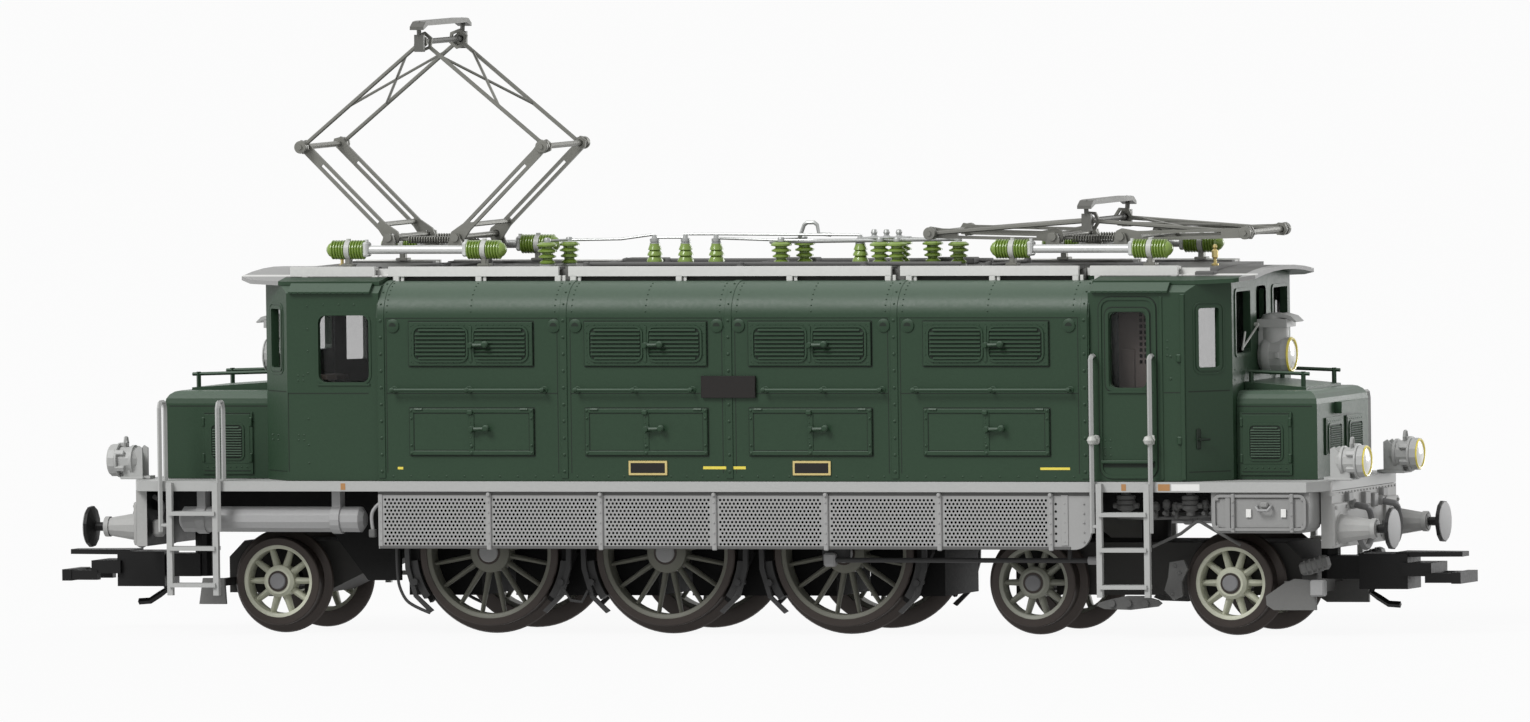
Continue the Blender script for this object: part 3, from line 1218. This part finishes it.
def make_upper_arm(name, centre, out, tube_y, angle):
    knee_out, knee_height = knee(angle)
    start = (centre + out * knee_out, knee_height)
    end = (centre, head_height(angle))
    place = arm_frame(start, end)
    bore = SHAFT_RADIUS + RUN
    eyes = []
    far_bore = bore if tube_y == TUBE_Y_A else bore + 0.0004
    for side in (-1, 1):
        y = side * tube_y
        for x, hole in ((0, bore), (UPPER_ARM, far_bore)):
            ring = [place(point) for point in arc((x, 0), hole + 0.0004, 0, 300, 5)]
            inner = [place(point) for point in arc((x, 0), hole, 0, 300, 5)]
            eyes.append(prism(ring, y - 0.0002, y + 0.0002, "XZ", holes=[inner]))
    tubes = []
    for side in (-1, 1):
        y = side * tube_y
        first, second = place((bore + 0.0002, 0)), place((UPPER_ARM - far_bore - 0.0002, 0))
        tubes.append(((first[0], y, first[1]), (second[0], y, second[1])))
    frame = rods(tubes, TUBE_RADIUS, 6)
    braces = []
    for side, lift in ((-1, 0.0), (1, 0.00007)):
        # one brace passes just above the other where they cross
        low, high = place((UPPER_ARM * 0.38, lift)), place((UPPER_ARM * 0.88, lift))
        ends = ((low[0], side * tube_y, low[1]), (high[0], -side * tube_y, high[1]))
        braces.append(rods([ends], 0.00018, 6))
    return node(join(frame, *eyes, *braces), name, "panto_metal")


def make_head(name, centre, angle):
    height = head_height(angle)
    top = height + COLLECTOR_RISE
    reach = TUBE_Y_A + 0.0006
    shaft = rods([((centre, -reach, height), (centre, reach, height))], SHAFT_RADIUS, 8)
    boxes = []
    for side in (-1, 1):
        inner, outer = sorted((side * (TUBE_Y_A + 0.0003), side * (TUBE_Y_A + 0.0009)))
        boxes.append(((centre - 0.0006, inner, height - 0.0012), (centre + 0.0006, outer, height + 0.0009)))
    cheeks = blocks(boxes)
    pieces = [cheeks]
    for side in (-1, 1):
        y = side * (TUBE_Y_A + 0.0006)
        horn = wire([(centre, y, height + 0.0004), (centre, y + side * 0.0003, top - 0.0006),
                     (centre, y - side * 0.0002, top - 0.0002)], 0.0003)
        pieces.append(horn)
    end_drop = 0.0007
    wide = COLLECTOR_HALF_WIDTH
    half = [(wide, top - end_drop - 0.0004), (wide, top - end_drop), (wide - 0.0010, top - 0.0001), (wide - 0.0020, top)]
    lower = [(wide - 0.0016, top - 0.0006)]
    outline = half + [(-y, z) for y, z in reversed(half)] + [(-y, z) for y, z in lower] + lower
    strip = prism(outline, centre - 0.0009, centre + 0.0009, "YZ")
    pieces.append(strip)
    return node(join(shaft, *pieces), name, "panto_metal")


INSULATOR_RIBS = 4


def ribbed(length, radius, ribs):
    # Profile of a ribbed insulator from its top down to zero
    core = radius * 0.70
    pitch = length / ribs
    profile = [(0, length)]
    for k in range(ribs):
        profile += [(core, length - k * pitch), (radius, length - (k + 0.6) * pitch)]
    profile += [(core, 0), (0, 0)]
    return profile


def make_base(name, centre):
    deck = PLANK_TOP + SEAT
    shafts = [((centre + out * PANTO_PIVOT, -ARM_Y_B - 0.0005, PANTO_PIVOT_HEIGHT),
               (centre + out * PANTO_PIVOT, ARM_Y_B + 0.0005, PANTO_PIVOT_HEIGHT)) for out in (-1, 1)]
    tube_reach = INSULATOR_REACH - INSULATOR_HALF + EMBED
    tubes = [((centre - tube_reach, side * BASE_TUBE_Y, BASE_TUBE_HEIGHT),
              (centre + tube_reach, side * BASE_TUBE_Y, BASE_TUBE_HEIGHT)) for side in (-1, 1)]
    frame = rods(tubes, BASE_TUBE_RADIUS, 8)
    pieces = [rods(shafts, SHAFT_RADIUS, 6)]
    beam_top = PANTO_PIVOT_HEIGHT - SHAFT_RADIUS - 0.0009
    beams, cheeks = [], []
    for out in (-1, 1):
        x = centre + out * PANTO_PIVOT
        beams.append(((x - 0.0008, -BASE_TUBE_Y, BASE_TUBE_HEIGHT - 0.0003), (x + 0.0008, BASE_TUBE_Y, beam_top)))
        for side in (-1, 1):
            inner, outer = sorted((side * (ARM_Y_B + 0.00035), side * (ARM_Y_B + 0.0008)))
            cheeks.append(((x - 0.0007, inner, beam_top - EMBED), (x + 0.0007, outer, PANTO_PIVOT_HEIGHT + 0.0006)))
    pieces += [blocks(beams), blocks(cheeks)]
    for out in (-1, 1):
        for side in (-1, 1):
            place = (centre + out * (INSULATOR_REACH - INSULATOR_HALF), side * BASE_TUBE_Y, BASE_TUBE_HEIGHT)
            pieces.append(turned(ribbed(2 * INSULATOR_HALF, INSULATOR_RADIUS, INSULATOR_RIBS), place, (out, 0, 0), 8))
            x = centre + out * INSULATOR_REACH
            pieces.append(block((x - 0.0004, side * BASE_TUBE_Y - 0.0005, deck),
                                (x + 0.0004, side * BASE_TUBE_Y + 0.0005, BASE_TUBE_HEIGHT + 0.0001)))
    return node(join(frame, *pieces), name, "panto_metal")


PANTOGRAPHS = (
    # name, centre, angle of the lower arms at rest
    ("left", PANTO_LEFT, RAISED_ANGLE),
    ("right", PANTO_RIGHT, LOWERED_ANGLE),
)


def make_pantographs():
    for name, centre, angle in PANTOGRAPHS:
        make_base("pantograph_base_%s" % name, centre)
        make_lower_arm("lower_arm_a_%s" % name, centre, -1, ARM_Y_A, angle)
        make_lower_arm("lower_arm_b_%s" % name, centre, 1, ARM_Y_B, angle)
        make_upper_arm("upper_arm_a_%s" % name, centre, -1, TUBE_Y_A, angle)
        make_upper_arm("upper_arm_b_%s" % name, centre, 1, TUBE_Y_B, angle)
        make_head("collector_head_%s" % name, centre, angle)


POSTS = (
    # x, y of the post insulators on the roof
    (-0.0139, 0.0), (-0.0097, 0.0), (-0.0057, 0.0), (0.0050, 0.0), (0.0125, 0.0), (0.0190, 0.0),
)


def make_line():
    deck = DECK_TOP + SEAT
    bar_height = 0.0486
    bar = rods([((POSTS[0][0] - 0.0030, 0, bar_height), (POSTS[-1][0] + 0.0030, 0, bar_height))], 0.0003)
    pieces = []
    for x, y in POSTS:
        post = turned(ribbed(0.0032, 0.0010, 3), (x, y, deck), (0, 0, 1), 8)
        cap = rods([((x, y, deck + 0.0030), (x, y, bar_height + 0.00005))], 0.0002, 6)
        pieces += [post, cap]
    node(join(bar, *pieces), "high_tension_line", "insulator_green")


make_wheelsets()
make_chassis()
make_footplate()
make_skirts()
make_end_beams()
make_buffer_heads()
make_housing()
make_glazing()
make_interiors()
make_motor()
make_machine_roof()
make_cab_roofs()
make_hoods()
make_headlamps()
make_top_lamps()
make_tanks()
make_toolboxes()
make_ladders()
make_bogie()
make_pony()
make_couplers()
make_pantographs()
make_line()
